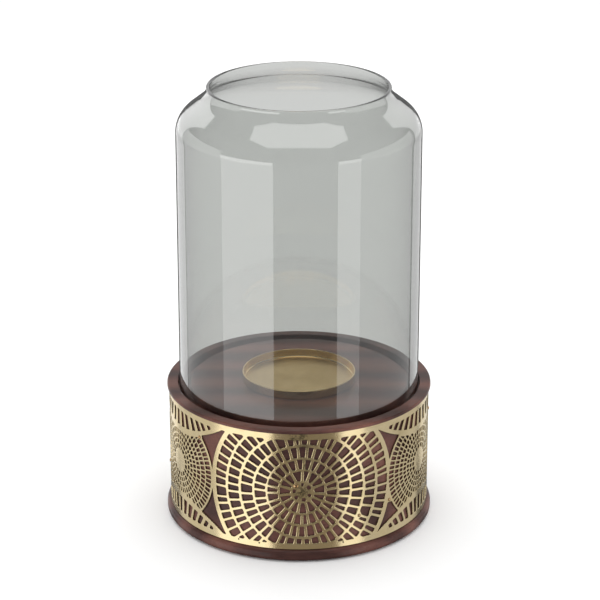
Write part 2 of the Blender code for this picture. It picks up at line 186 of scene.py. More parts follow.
# ---- Node helpers -------------------------------------------------------------------------------
class Nodes:
    """The node tree of a world, a lamp or a material, with short calls for what is used here."""

    def __init__(self, owner):
        owner.use_nodes = True
        self.tree = owner.node_tree

    def node(self, kind, **settings):
        made = self.tree.nodes.new(kind)
        for key, value in settings.items():
            setattr(made, key, value)
        return made

    def link(self, source, target):
        if isinstance(source, (int, float)):
            target.default_value = source
        elif isinstance(source, tuple):
            needs_alpha = len(source) == 3 and target.type == "RGBA"
            target.default_value = (*source, 1.0) if needs_alpha else source
        else:
            self.tree.links.new(source, target)

    def math(self, operation, a, b=0.0, c=0.0):
        made = self.node("ShaderNodeMath", operation=operation)
        for socket, value in zip(made.inputs, (a, b, c)):
            self.link(value, socket)
        return made.outputs[0]

    def ray_tests(self):
        """Two tests of the ray: it comes through glass with no diffuse bounce, or by a reflection."""
        path = self.node("ShaderNodeLightPath").outputs
        direct = self.math("LESS_THAN", path["Diffuse Depth"], 0.5)
        through_glass = self.math("MULTIPLY", path["Is Transmission Ray"], direct)
        return through_glass, self.math("GREATER_THAN", path["Glossy Depth"], 0.5)


class Shade(Nodes):
    """A material with its principled shader."""

    def __init__(self, name):
        self.material = bpy.data.materials.new(name)
        super().__init__(self.material)
        self.shader = self.tree.nodes["Principled BSDF"]
        self.surface = self.tree.nodes["Material Output"].inputs["Surface"]
        self.coords = self.node("ShaderNodeTexCoord").outputs["Object"]

    def set(self, **values):
        for key, value in values.items():
            self.link(value, self.shader.inputs[key.replace("_", " ")])

    def mixed_with(self, other, fac):
        """Shows another shader in place of the principled one, by the factor."""
        mix = self.node("ShaderNodeMixShader")
        self.link(fac, mix.inputs[0])
        self.link(self.shader.outputs[0], mix.inputs[1])
        self.link(other.outputs[0], mix.inputs[2])
        self.link(mix.outputs[0], self.surface)

    def scaled(self, vector, scale):
        made = self.node("ShaderNodeMapping")
        self.link(vector, made.inputs["Vector"])
        made.inputs["Scale"].default_value = scale
        return made.outputs[0]

    def noise(self, vector, scale, detail=4.0, roughness=0.55, distortion=0.0):
        made = self.node("ShaderNodeTexNoise")
        self.link(vector, made.inputs["Vector"])
        made.inputs["Scale"].default_value = scale
        made.inputs["Detail"].default_value = detail
        made.inputs["Roughness"].default_value = roughness
        made.inputs["Distortion"].default_value = distortion
        return made.outputs["Fac"]

    def ramp(self, fac, *stops):
        made = self.node("ShaderNodeValToRGB")
        self.link(fac, made.inputs[0])
        elements = made.color_ramp.elements
        while len(elements) < len(stops):
            elements.new(0.5)
        for element, (place, colour) in zip(elements, stops):
            element.position = place
            colour = colour if isinstance(colour, tuple) else (colour,) * 3
            element.color = (*colour, 1.0)
        return made.outputs[0]

    def mix(self, fac, a, b):
        made = self.node("ShaderNodeMix", data_type="RGBA")
        self.link(fac, made.inputs[0])
        self.link(a, made.inputs[6])
        self.link(b, made.inputs[7])
        return made.outputs[2]

    def span(self, value, low, high, to_low, to_high):
        made = self.node("ShaderNodeMapRange")
        for socket, number in zip(made.inputs, (value, low, high, to_low, to_high)):
            self.link(number, socket)
        return made.outputs[0]

    def bump(self, height, distance, strength):
        made = self.node("ShaderNodeBump")
        self.link(height, made.inputs["Height"])
        made.inputs["Distance"].default_value = distance
        made.inputs["Strength"].default_value = strength
        return made.outputs[0]

    def axes(self):
        made = self.node("ShaderNodeSeparateXYZ")
        self.link(self.coords, made.inputs[0])
        return made.outputs

    def vector(self, x, y, z):
        made = self.node("ShaderNodeCombineXYZ")
        for socket, value in zip(made.inputs, (x, y, z)):
            self.link(value, socket)
        return made.outputs[0]

    def polar(self):
        """(angle in radians, radius, height) of the point, for marks that run round the turned axis."""
        x, y, z = self.axes()
        angle = self.math("ARCTAN2", y, x)
        squares = self.math("ADD", self.math("MULTIPLY", x, x), self.math("MULTIPLY", y, y))
        return angle, self.math("SQRT", squares), z


# ---- Materials ----------------------------------------------------------------------------------
BRUSHED_RADIUS = 0.089
# Dark patches painted on the band's front, a painted reflection of the dark side in front of it: angle
# from the front, height over its middle, reach.
PAINTED_REFLECTIONS = (
    (1.5, 0.000, 0.0075),
    (-2.6, 0.0395, 0.0040),
    (1.4, 0.0400, 0.0045),
    (2.0, 0.0310, 0.0060),
    (3.0, 0.0200, 0.0055),
)


def wood_material():
    """Dark reddish-brown hardwood, grain along X, open pores, under a satin lacquer."""
    s = Shade("stained_wood")
    long = s.scaled(s.coords, (9.0, 60.0, 60.0))
    warp = s.noise(s.scaled(s.coords, (4.0, 14.0, 14.0)), 1.0, 3.0)
    _, y, z = s.axes()
    rings = s.math("ADD", s.math("MULTIPLY", y, 190.0), s.math("MULTIPLY", z, 70.0))
    rings = s.math("ADD", rings, s.math("MULTIPLY", warp, 7.0))
    wave = s.math("MULTIPLY_ADD", s.math("SINE", rings), 0.5, 0.5)
    streak = s.noise(long, 1.0, 6.0, 0.6, 0.6)
    fine = s.noise(s.scaled(s.coords, (60.0, 900.0, 900.0)), 1.0, 3.0, 0.6)
    tone = s.math("ADD", s.math("MULTIPLY", wave, 0.30), s.math("MULTIPLY", streak, 0.55))
    tone = s.math("ADD", tone, s.math("MULTIPLY", fine, 0.22))
    colour = s.ramp(
        tone,
        (0.20, (0.020, 0.0078, 0.0066)),
        (0.42, (0.068, 0.0265, 0.0210)),
        (0.62, (0.128, 0.0505, 0.0385)),
        (0.85, (0.210, 0.0860, 0.0610)),
    )
    pores = s.noise(s.scaled(s.coords, (140.0, 1500.0, 1500.0)), 1.0, 2.0, 0.5)
    pore = s.ramp(pores, (0.30, 0.0), (0.40, 1.0))
    colour = s.mix(s.math("MULTIPLY_ADD", pore, -0.45, 0.45), colour, (0.012, 0.007, 0.006))
    s.set(Base_Color=colour)
    s.set(Roughness=s.span(streak, 0.3, 0.7, 0.36, 0.50))
    s.set(Specular_IOR_Level=0.20, Coat_Weight=0.30, Coat_Roughness=0.12)
    s.set(Normal=s.bump(s.math("ADD", pore, s.math("MULTIPLY", fine, 0.6)), 0.00006, 0.35))
    return s.material


def band_material():
    """Pale antiqued brass: fine cross-brushed grain, soft mottling, a little tarnish, and a painted dark
    reflection in patches on its front.
    """
    s = Shade("band_brass")
    angle, _, z = s.polar()
    round_way = s.math("MULTIPLY", s.math("MULTIPLY", angle, BRUSHED_RADIUS), 500.0)
    brushed = s.noise(s.vector(round_way, s.math("MULTIPLY", z, 4200.0), 0.0), 1.0, 3.0, 0.6)
    mottle = s.noise(s.coords, 55.0, 4.0, 0.6)
    speck = s.noise(s.coords, 900.0, 3.0, 0.6)
    tarnish = s.ramp(s.noise(s.coords, 26.0, 5.0, 0.62, 0.4), (0.56, 0.0), (0.74, 1.0))
    colour = s.ramp(mottle, (0.30, (0.84, 0.675, 0.380)), (0.70, (0.95, 0.790, 0.490)))
    colour = s.mix(s.math("MULTIPLY", tarnish, 0.35), colour, (0.36, 0.28, 0.145))
    patchy = s.span(s.noise(s.coords, 420.0, 4.0, 0.65), 0.38, 0.56, 0.0, 1.0)
    # Painted reflection: dark patches painted onto the front of the band, standing in for the dark side
    # that it reflects there.
    for turn, height, reach in PAINTED_REFLECTIONS:
        spot = turned_place(turn, BAND_OUTER, BAND_CENTRE_Z + height)
        away = s.node("ShaderNodeVectorMath", operation="DISTANCE")
        s.link(s.coords, away.inputs[0])
        s.link(tuple(spot), away.inputs[1])
        painted_reflection = s.math("MULTIPLY", s.span(away.outputs["Value"], 0.0, reach, 1.0, 0.0), patchy)
        colour = s.mix(s.math("MULTIPLY", painted_reflection, 0.85), colour, (0.045, 0.048, 0.030))
    s.set(Base_Color=colour, Metallic=1.0)
    polished = s.span(mottle, 0.3, 0.7, 0.15, 0.21)
    s.set(Roughness=s.math("ADD", polished, s.math("MULTIPLY", tarnish, 0.10)))
    height = s.math("ADD", s.math("MULTIPLY", brushed, 0.6), s.math("MULTIPLY", speck, 1.2))
    s.set(Normal=s.bump(height, 0.00003, 0.50))
    return s.material


def brad_material():
    """Redder brass of the brads, with a random mottle."""
    s = Shade("brad_brass")
    mottle = s.noise(s.coords, 900.0, 4.0, 0.6)
    colour = s.ramp(mottle, (0.3, (0.72, 0.44, 0.21)), (0.7, (0.90, 0.62, 0.34)))
    s.set(Base_Color=colour, Metallic=1.0)
    s.set(Roughness=s.span(mottle, 0.3, 0.7, 0.18, 0.34))
    s.set(Normal=s.bump(mottle, 0.00003, 0.5))
    return s.material


def plate_material():
    """Spun brass: bright wall, satin floor with fine turned rings."""
    s = Shade("plate_brass")
    angle, radius, _ = s.polar()
    turned = s.vector(s.math("MULTIPLY", radius, 2600.0), s.math("MULTIPLY", angle, 0.6), 0.0)
    rings = s.noise(turned, 1.0, 4.0, 0.7)
    mottle = s.noise(s.coords, 70.0, 3.0, 0.5)
    colour = s.ramp(mottle, (0.3, (0.76, 0.555, 0.265)), (0.7, (0.86, 0.650, 0.335)))
    s.set(Base_Color=colour, Metallic=1.0)
    satin = s.math("LESS_THAN", radius, PLATE_RADIUS - PLATE_BRIGHT_EDGE)
    bright = s.span(rings, 0.3, 0.7, 0.15, 0.20)
    s.set(Roughness=s.math("ADD", s.math("MULTIPLY", satin, 0.24), bright), Anisotropic=0.4)
    s.set(Normal=s.bump(rings, 0.00002, 0.30))
    return s.material


def glass_material():
    """Smooth glass with a faint grey-green cast; the light of the lamps and the sky passes straight."""
    s = Shade("clear_glass")
    s.set(Base_Color=(0.850, 0.865, 0.845), Roughness=0.0, IOR=1.38, Transmission_Weight=1.0)
    s.set(Coat_Weight=1.0, Coat_Roughness=0.0, Coat_IOR=1.75)
    straight = s.node("ShaderNodeBsdfTransparent")
    s.link((0.86, 0.875, 0.86), straight.inputs[0])
    s.mixed_with(straight, s.node("ShaderNodeLightPath").outputs["Is Shadow Ray"])
    return s.material


def felt_material():
    s = Shade("black_felt")
    fibre = s.noise(s.coords, 1800.0, 5.0, 0.7)
    s.set(Base_Color=s.ramp(fibre, (0.3, (0.010, 0.010, 0.011)), (0.7, (0.035, 0.034, 0.036))))
    s.set(Roughness=0.95, Sheen_Weight=0.5, Sheen_Roughness=0.5)
    s.set(Normal=s.bump(fibre, 0.0003, 0.8))
    return s.material


def steel_material():
    s = Shade("screw_steel")
    grain = s.noise(s.coords, 1400.0, 3.0, 0.6)
    s.set(Base_Color=(0.60, 0.60, 0.61), Metallic=1.0, Roughness=s.span(grain, 0.3, 0.7, 0.28, 0.42))
    s.set(Normal=s.bump(grain, 0.00002, 0.5))
    return s.material


# ---- Turned pieces ------------------------------------------------------------------------------
def drum_profile():
    edge, top, under = 0.0006, 0.0010, 0.0003
    floor = DECK_Z - GROOVE_DEPTH
    points = [(0.0, DECK_Z), (0.040, DECK_Z)]
    points += arc(DECK_RADIUS - edge, DECK_Z - edge, edge, 90, 0, 5)
    points += [(DECK_RADIUS, floor), (GROOVE_RADIUS, floor)]
    points += arc(GROOVE_RADIUS + edge, DECK_Z - edge, edge, 180, 90, 5)
    points += arc(LIP_RADIUS - top, DECK_Z - top, top, 90, 0, 8)
    points += arc(LIP_RADIUS - under, DECK_Z - LIP_HEIGHT + under, under, 0, -90, 3)
    points += [(SEAT_RADIUS, DECK_Z - LIP_HEIGHT), (SEAT_RADIUS, DRUM_LOW.z), (0.0, DRUM_LOW.z)]
    return points


def plinth_profile():
    r = 0.0030
    middle = PLINTH_RADIUS - r
    felt = FELT_RADIUS + FITTED_GAP
    recess = FELT_HIGH.z + FITTED_GAP
    points = [(0.0, PLINTH_HIGH.z)]
    points += arc(middle, PLINTH_HIGH.z - r, r, 90, 0, 10)
    points += arc(middle, PLINTH_LOW.z + r, r, 0, -90, 10)
    points += [(felt, PLINTH_LOW.z), (felt, recess), (0.0, recess)]
    return points


def felt_profile():
    edge = 0.0004
    points = [(0.0, FELT_HIGH.z), (FELT_RADIUS, FELT_HIGH.z)]
    points += arc(FELT_RADIUS - edge, FELT_LOW.z + edge, edge, 0, -90, 4)
    return points + [(0.0, FELT_LOW.z)]


def shoulder_curve(inset):
    """The chimney from its rim to its straight wall: hollow neck, straight slope, round shoulder."""
    r = MOUTH_RADIUS - inset
    z = GLASS_HIGH.z - GLASS_WALL / 2
    points = [(r, z)]
    lean = 0.0
    for bend, turn in NECK_BENDS:
        tilt = math.radians(lean)
        radius = bend + inset
        centre = (r + radius * math.cos(tilt), z + radius * math.sin(tilt))
        points += arc(*centre, radius, 180 + lean, 180 + lean + turn, 8)[1:]
        r, z = points[-1]
        lean += turn
    tilt = math.radians(lean)
    radius = SHOULDER_RADIUS - inset
    end = GLASS_RADIUS - inset - radius * (1 - math.cos(tilt))
    z -= (end - r) / math.tan(tilt)
    return points + arc(end - radius * math.cos(tilt), z - radius * math.sin(tilt), radius, lean, 0, 26)


def glass_profile():
    """The chimney as the CAD has it, with finer rounds."""
    low = GLASS_LOW.z
    foot = GLASS_FOOT
    lip = GLASS_WALL / 2
    points = shoulder_curve(0.0)
    points += arc(GLASS_RADIUS - foot, low + foot, foot, 0, -90, 6)
    points += arc(GLASS_RADIUS - GLASS_WALL + foot, low + foot, foot, -90, -180, 6)
    points += shoulder_curve(GLASS_WALL)[::-1]
    return points + arc(MOUTH_RADIUS - lip, GLASS_HIGH.z - lip, lip, 180, 15, 11)[1:]


def plate_profile():
    """A thin wall on a flat floor, with a fine turned line where the floor ends."""
    wall, corner, outer, line = 0.0009, 0.0011, 0.0012, 0.0001
    floor = PLATE_LOW.z + wall
    top = PLATE_HIGH.z
    inner = PLATE_RADIUS - wall
    half = wall / 2
    points = [(0.0, floor), (0.020, floor), (inner - 0.0032, floor)]
    points += arc(inner - 0.0024, floor + line, line, -90, 0, 1)
    points += [(inner - 0.0020, floor)]
    points += arc(inner - corner - 0.0002, floor + corner, corner, -90, -8, 6)
    points += arc(PLATE_RADIUS - half, top - half, half, 180, 0, 8)
    points += arc(PLATE_RADIUS - outer, PLATE_LOW.z + outer, outer, 0, -90, 6)
    return points + [(0.0, PLATE_LOW.z)]


# ---- Pierced band -------------------------------------------------------------------------------
# The pattern is drawn flat at DRAWN_RADIUS, x along the band and y over its middle. It is then fitted
# to the strip. Places of wheels and rosettes are in degrees from the pattern's front, which is turned
# by TURN.
DRAWN_RADIUS = 0.0906
TURN = 1.45
WHEEL_PLACES = (-132.6, 0.0, 131.1)
FINE_PLACES = (-66.75, 65.1)
NEXT_WHEEL = 90.0
HUB_TURN = 6.0
SLOT_TOP = BAND_HALF - 0.0046
SLOT_LOW = -BAND_HALF + 0.0044
WHEEL_RIM = 0.0668
FINE_RIM = 0.0398
FAN_RADIUS = 0.0890
FAN_REACH = 0.0235
FAN_RIM = 0.0033
FAN_PITCH = 0.0061
FAN_SLOT = 0.0033
FAN_FOCUS = 0.050
FAN_STEPS = 7
FAN_SHIFT = 0.3
FAN_WOBBLE = 0.06
FAN_SPREAD = (0.90, 1.12)
FAN_MARGIN = 0.0011
WHEEL_WEB = 0.0021
WHEEL_WOBBLE = 0.17
WHEEL_SLACK = 0.00016
FINE_WEB = 0.0013
FINE_WOBBLE = 0.10
FINE_SLACK = 0.00005
WEB_SPREAD = (0.90, 1.10)
# Rings of slots: inner radius, outer radius, number of slots.
WHEEL_RINGS = (
    (0.0083, 0.0153, 15),
    (0.0168, 0.0236, 26),
    (0.0253, 0.0326, 34),
    (0.0347, 0.0425, 42),
    (0.0448, 0.0527, 53),
    (0.0549, 0.0630, 62),
)
FINE_RINGS = (
    (0.0087, 0.0113, 17),
    (0.0124, 0.0149, 25),
    (0.0160, 0.0187, 33),
    (0.0198, 0.0229, 42),
    (0.0240, 0.0273, 50),
    (0.0284, 0.0323, 60),
    (0.0334, 0.0380, 70),
)
# Holes of a wheel's hub: angle round it, distance, length across the spoke and along it.
HUB_HOLES = (
    (89, 0.0056, 0.0019, 0.0022),
    (38, 0.0054, 0.0033, 0.0026),
    (-26, 0.0053, 0.0024, 0.0023),
    (-80, 0.0055, 0.0031, 0.0023),
    (-137, 0.0055, 0.0027, 0.0025),
    (172, 0.0055, 0.0030, 0.0022),
)
PEBBLE = ((-0.5, 0.35), (-0.32, -0.5), (0.32, -0.5), (0.5, 0.35), (0.0, 0.55))
STARTER_ANGLES = (-28.3, -18.7, 17.9)
STARTER_RADIUS = 0.0005
STARTER_DROP = 0.0012
# Radii of the rounds in the corners of the openings, and widths of their rounded-over edges.
HUB_CORNER = 0.0006
WHEEL_CORNER = 0.00065
FINE_CORNER = 0.0004
FAN_CORNER = 0.0006
WINDOW_CORNER = 0.0005
WHEEL_EDGE = 0.00050
FINE_EDGE = 0.00030
STARTER_EDGE = 0.00015
EDGE_DEPTH = 0.00045
EDGE_TURNS = (90.0, 55.0, 25.0, 0.0)
ROLL_STEPS = 96
SEAM = 0.0003
BRAD_RADIUS = 0.0012
BRAD_HEIGHT = 0.0006
HUB_BRAD_RADIUS = 0.0017
HUB_BRAD_HEIGHT = 0.0011
BRAD_LIFT = 0.0001
BRAD_GAP = 0.0004
BRAD_NEAR = 0.008
BAR_REACH = 0.0015
LEAST_SLOT = 1.5e-6
LEAST_SIDE = 0.0005
LEAST_FAN_SLOT = 0.0002
# A corner with a cosine under STRAIGHT isn't rounded; a round takes at most this share of a side.
STRAIGHT = -0.96
ROUND_SHARE = 0.42
MITRE_LIMIT = 0.6
LINE_TOLERANCE = 1e-7


def along(angle):
    """How far along the drawn band an angle in degrees is."""
    return math.radians(angle) * DRAWN_RADIUS


def wrapped(turn):
    """The same turn between -pi and pi."""
    return (turn + math.pi) % (2 * math.pi) - math.pi


def rounded(corners, radius):
    """A polygon's corners replaced by short rounds."""
    out = []
    count = len(corners)
    for i, corner in enumerate(corners):
        here = Vector(corner)
        before = Vector(corners[i - 1]) - here
        after = Vector(corners[(i + 1) % count]) - here
        bend = before.normalized().dot(after.normalized())
        if bend < STRAIGHT:
            out.append(corner)
            continue
        start = here + before.normalized() * min(radius, before.length * ROUND_SHARE)
        end = here + after.normalized() * min(radius, after.length * ROUND_SHARE)
        for t in (0.0, 0.5, 1.0):
            out.append(tuple(start * (1 - t) ** 2 + here * 2 * t * (1 - t) + end * t * t))
    return out


def trimmed(corners, place, inward):
    """The part of a polygon on the inward side of the line through a place."""
    kept = []
    depths = [(x - place[0]) * inward[0] + (y - place[1]) * inward[1] for x, y in corners]
    for i, (x, y) in enumerate(corners):
        j = (i + 1) % len(corners)
        if depths[i] >= 0:
            kept.append((x, y))
        if (depths[i] >= 0) != (depths[j] >= 0):
            t = depths[i] / (depths[i] - depths[j])
            kept.append((x + (corners[j][0] - x) * t, y + (corners[j][1] - y) * t))
    return kept


def outside_circle(corners, centre, radius):
    """A small polygon trimmed by the circle's tangent nearest to it."""
    if len(corners) < 3:
        return []
    middle = sum((Vector(c) for c in corners), Vector((0.0, 0.0))) / len(corners)
    away = (middle - centre).normalized()
    return trimmed(corners, centre + away * radius, away)


def area(corners):
    pairs = zip(corners, corners[1:] + corners[:1])
    return sum(x * ny - nx * y for (x, y), (nx, ny) in pairs) / 2


def ring(centre, inner, outer, count, web, wobble, slack, rng, brads):
    """Hand-cut slots round a centre, with uneven spacing and width; a bar meets each brad."""
    place = rng.random()
    cuts = [(i + place + rng.uniform(-wobble, wobble)) * 2 * math.pi / count for i in range(count)]
    for brad in brads:
        arm = Vector(brad) - centre
        if inner - BAR_REACH < arm.length < outer + BAR_REACH:
            angle = math.atan2(arm.y, arm.x) % (2 * math.pi)
            nearest = min(range(count), key=lambda i: abs(wrapped(cuts[i] - angle)))
            cuts[nearest] += wrapped(angle - cuts[nearest])
    slots = []
    for i in range(count):
        first = cuts[i]
        last = cuts[(i + 1) % count] + (2 * math.pi if i == count - 1 else 0)
        low = inner + rng.uniform(-slack, slack)
        high = outer + rng.uniform(-slack, slack)
        sides = ((low, first, 1), (high, first, 1), (high, last, -1), (low, last, -1))
        corners = []
        for radius, angle, side in sides:
            turn = angle + side * web * rng.uniform(*WEB_SPREAD) / (2 * radius)
            corners.append((centre.x + radius * math.cos(turn), centre.y + radius * math.sin(turn)))
        slots.append(corners)
    return slots


def crossing(first, first_radius, second, second_radius, side):
    """Where two circles cross, to the left of the way between their centres or to the right."""
    span = second - first
    ahead = (first_radius**2 - second_radius**2 + span.length_squared) / (2 * span.length)
    aside = math.sqrt(max(first_radius**2 - ahead**2, 0.0))
    unit = span.normalized()
    return first + unit * ahead + Vector((-unit.y, unit.x)) * aside * side


def arc_between(centre, start, end, steps):
    """Points of the shorter arc from start towards end, without its last point."""
    first = math.atan2(start.y - centre.y, start.x - centre.x)
    turn = wrapped(math.atan2(end.y - centre.y, end.x - centre.x) - first)
    radius = (start - centre).length
    angles = [first + turn * i / steps for i in range(steps)]
    return [(centre.x + radius * math.cos(a), centre.y + radius * math.sin(a)) for a in angles]


def window(wheel_x, fine_x, up):
    """The three-sided opening between a wheel, a fine rosette and the fan over or under the rosette."""
    side = up if fine_x > wheel_x else -up
    wheel = Vector((wheel_x, 0.0))
    fine = Vector((fine_x, 0.0))
    fan = Vector((fine_x, up * (FAN_REACH + FAN_RADIUS)))
    by_border = crossing(wheel, WHEEL_RIM, fan, FAN_RADIUS, side)
    by_fine = crossing(fine, FINE_RIM, fan, FAN_RADIUS, side)
    by_wheel = crossing(wheel, WHEEL_RIM, fine, FINE_RIM, side)
    points = arc_between(wheel, by_border, by_wheel, 12)
    points += arc_between(fine, by_wheel, by_fine, 10)
    return points + arc_between(fan, by_fine, by_border, 10)


def fan_slots(fine_x, up, rng):
    """Slots from the plain border to the fan's rim, spreading away from a far focus."""
    border = SLOT_TOP if up > 0 else -SLOT_LOW
    reach = FAN_REACH + FAN_RADIUS
    shift = rng.uniform(-FAN_SHIFT, FAN_SHIFT)
    slots = []
    for step in range(-FAN_STEPS, FAN_STEPS + 1):
        at_border = (step + shift + rng.uniform(-FAN_WOBBLE, FAN_WOBBLE)) * FAN_PITCH
        half = FAN_SLOT * rng.uniform(*FAN_SPREAD) / 2
        corners = []
        for side in (-half, half):
            end = reach - FAN_RADIUS
            for _ in range(4):
                x = (at_border + side) * (1 + (border - end) / FAN_FOCUS)
                end = reach - math.sqrt(max((FAN_RADIUS - FAN_RIM) ** 2 - x * x, 0.0))
            ends = [(fine_x + at_border + side, up * border), (fine_x + x, up * end)]
            corners += ends if side < 0 else ends[::-1]
        if min(border - abs(corners[1][1]), border - abs(corners[2][1])) > LEAST_FAN_SLOT:
            slots.append(corners)
    return slots


def brad_places():
    """(angle from the front, height, node) of each brad, read from its CAD node."""
    places = []
    for name in sorted(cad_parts):
        if name.startswith("band_pin_"):
            low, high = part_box(name)
            middle = (low + high) / 2
            places.append((math.degrees(math.atan2(middle.x, -middle.y)), middle.z, name))
    return places


def pebble(x, y, turn, across, length):
    """A small hand-filed hole, wider away from the hub."""
    corners = []
    cos, sin = math.cos(turn), math.sin(turn)
    for u, v in PEBBLE:
        u, v = u * across, v * length
        corners.append((x + v * cos - u * sin, y + v * sin + u * cos))
    return corners


def band_openings():
    """Every opening as (outline, width of its rounded edge), anticlockwise."""
    rng = random.Random(11)
    brads = [(along(angle), z - BAND_CENTRE_Z) for angle, z, _ in brad_places()]
    openings = []

    def keep(corners, corner, edge):
        """Adds an opening, clear of the borders and the brads, unless too little of it is left."""
        corners = trimmed(corners, (0.0, SLOT_TOP), (0.0, -1.0))
        corners = trimmed(corners, (0.0, SLOT_LOW), (0.0, 1.0))
        for brad in brads:
            if any(math.hypot(c[0] - brad[0], c[1] - brad[1]) < BRAD_NEAR for c in corners):
                corners = outside_circle(corners, Vector(brad), BRAD_RADIUS + BRAD_GAP + edge)
        if len(corners) < 3 or abs(area(corners)) < LEAST_SLOT:
            return
        if area(corners) < 0:
            corners = corners[::-1]
        corners = [c for i, c in enumerate(corners) if math.dist(c, corners[i - 1]) > LEAST_SIDE]
        openings.append((rounded(corners, corner), edge))

    for place in WHEEL_PLACES:
        centre = Vector((along(TURN + place), 0.0))
        for around, distance, across, length in HUB_HOLES:
            turn = math.radians(around)
            middle = centre + Vector((math.cos(turn), math.sin(turn))) * distance
            keep(pebble(*middle, turn, across, length), HUB_CORNER, FINE_EDGE)
        for row in WHEEL_RINGS:
            for corners in ring(centre, *row, WHEEL_WEB, WHEEL_WOBBLE, WHEEL_SLACK, rng, brads):
                keep(corners, WHEEL_CORNER, WHEEL_EDGE)
    for place in FINE_PLACES:
        centre = Vector((along(TURN + place), 0.0))
        for row in FINE_RINGS:
            for corners in ring(centre, *row, FINE_WEB, FINE_WOBBLE, FINE_SLACK, rng, brads):
                for up in (-1, 1):
                    fan = Vector((centre.x, up * (FAN_REACH + FAN_RADIUS)))
                    corners = outside_circle(corners, fan, FAN_RADIUS + FAN_MARGIN)
                keep(corners, FINE_CORNER, FINE_EDGE)
        for up in (-1, 1):
            for corners in fan_slots(centre.x, up, rng):
                keep(corners, FAN_CORNER, WHEEL_EDGE)
            for wheel in WHEEL_PLACES:
                if abs(wheel - place) < NEXT_WHEEL:
                    keep(window(along(TURN + wheel), centre.x, up), WINDOW_CORNER, WHEEL_EDGE)
    for angle in STARTER_ANGLES:
        hole = arc(along(TURN + angle), SLOT_LOW - STARTER_DROP, STARTER_RADIUS, 0, 300, 5)
        openings.append((hole, STARTER_EDGE))
    fit = BAND_MID / DRAWN_RADIUS
    return [([(x * fit, y) for x, y in points], edge) for points, edge in openings]


def offset(points, distance):
    """An anticlockwise outline moved outwards, with the direction that each point moved in."""
    moved = []
    ways = []
    for i, point in enumerate(points):
        here = Vector(point)
        before = (here - Vector(points[i - 1])).normalized()
        after = (Vector(points[(i + 1) % len(points)]) - here).normalized()
        way = Vector((before.y + after.y, -before.x - after.x)).normalized()
        spread = max(way.dot(Vector((before.y, -before.x))), MITRE_LIMIT)
        moved.append(here + way * distance / spread)
        ways.append(way)
    return moved, ways


def flat_strip(outline, openings):
    """The flat pierced strip: points (x, y, height), their normals, and faces."""
    verts = []
    normals = []
    faces = []
    caps = ([], [])
    front = BAND_THICKNESS / 2
    for number, (points, edge) in enumerate([outline] + openings):
        outward = -1 if number == 0 else 1
        count = len(points)
        rings = []
        for turn in EDGE_TURNS:
            a = math.radians(turn)
            moved, ways = offset(points, outward * edge * (1 - math.cos(a)))
            height = front - EDGE_DEPTH + EDGE_DEPTH * math.sin(a)
            side = -outward * math.cos(a) / edge
            rise = math.sin(a) / EDGE_DEPTH
            rings.append([(p.x, p.y, height, w * side, rise) for p, w in zip(moved, ways)])
        rings.append([(p[0], p[1], -front, w * -outward, -1.0) for p, w in zip(points, ways)])
        first = len(verts)
        for level in rings:
            for x, y, height, way, rise in level:
                verts.append((x, y, height))
                normals.append(Vector((way.x, way.y, rise)).normalized())
        for level in range(len(rings) - 1):
            for i in range(count):
                j = (i + 1) % count
                a, b = first + level * count + i, first + level * count + j
                quad = [a, b, b + count, a + count]
                faces.append(quad if number else quad[::-1])
        caps[0].append(list(range(first, first + count)))
        caps[1].append(list(range(len(verts) - count, len(verts))))
    for loops, flip in zip(caps, (False, True)):
        faces += cap_faces(verts, loops, flip)
    return verts, normals, faces


def cap_faces(verts, loops, flip):
    """Triangles that fill the first loop, less the others."""
    order = [v for loop in loops for v in loop]
    in_millimetres = [Vector(verts[v][:2]) * 1000.0 for v in order]
    starts = []
    total = 0
    for loop in loops:
        starts.append(list(range(total, total + len(loop))))
        total += len(loop)
    made = geometry.delaunay_2d_cdt(in_millimetres, [], starts, 1, 1e-6)
    triangles, sources, loops_round = made[2], made[3], made[5]
    faces = []
    for triangle, within in zip(triangles, loops_round):
        if within == [0]:
            corners = [order[sources[v][0]] for v in triangle]
            faces.append(corners[::-1] if flip else corners)
    return faces


def cut_across(verts, normals, faces):
    """Cuts every face at each roll step, so that the rolled strip is round.

    Faces with a shared edge share the points that it is cut at.
    """
    step = 2 * math.pi * BAND_MID / ROLL_STEPS
    made = {}
    done = []

    def cut_point(a, b, k):
        key = (min(a, b), max(a, b), k)
        if key not in made:
            a, b = key[:2]
            t = (k * step - verts[a][0]) / (verts[b][0] - verts[a][0])
            made[key] = len(verts)
            verts.append(tuple(p + (q - p) * t for p, q in zip(verts[a], verts[b])))
            normals.append(normals[a].lerp(normals[b], t).normalized())
        return made[key]

    for face in faces:
        spots = [verts[v][0] / step for v in face]
        first = math.ceil(min(spots) + LINE_TOLERANCE)
        last = math.floor(max(spots) - LINE_TOLERANCE)
        for k in range(first, last + 1):
            left, right = [], []
            sides = [(verts[v][0] / step) - k for v in face]
            for i, v in enumerate(face):
                after = (i + 1) % len(face)
                if sides[i] <= LINE_TOLERANCE:
                    left.append(v)
                if sides[i] >= -LINE_TOLERANCE:
                    right.append(v)
                low, high = sorted((sides[i], sides[after]))
                if low < -LINE_TOLERANCE and high > LINE_TOLERANCE:
                    point = cut_point(v, face[after], k)
                    left.append(point)
                    right.append(point)
            if len(left) > 2:
                done.append(left)
            face = right
            if len(face) < 3:
                break
        if len(face) > 2:
            done.append(face)
    return done


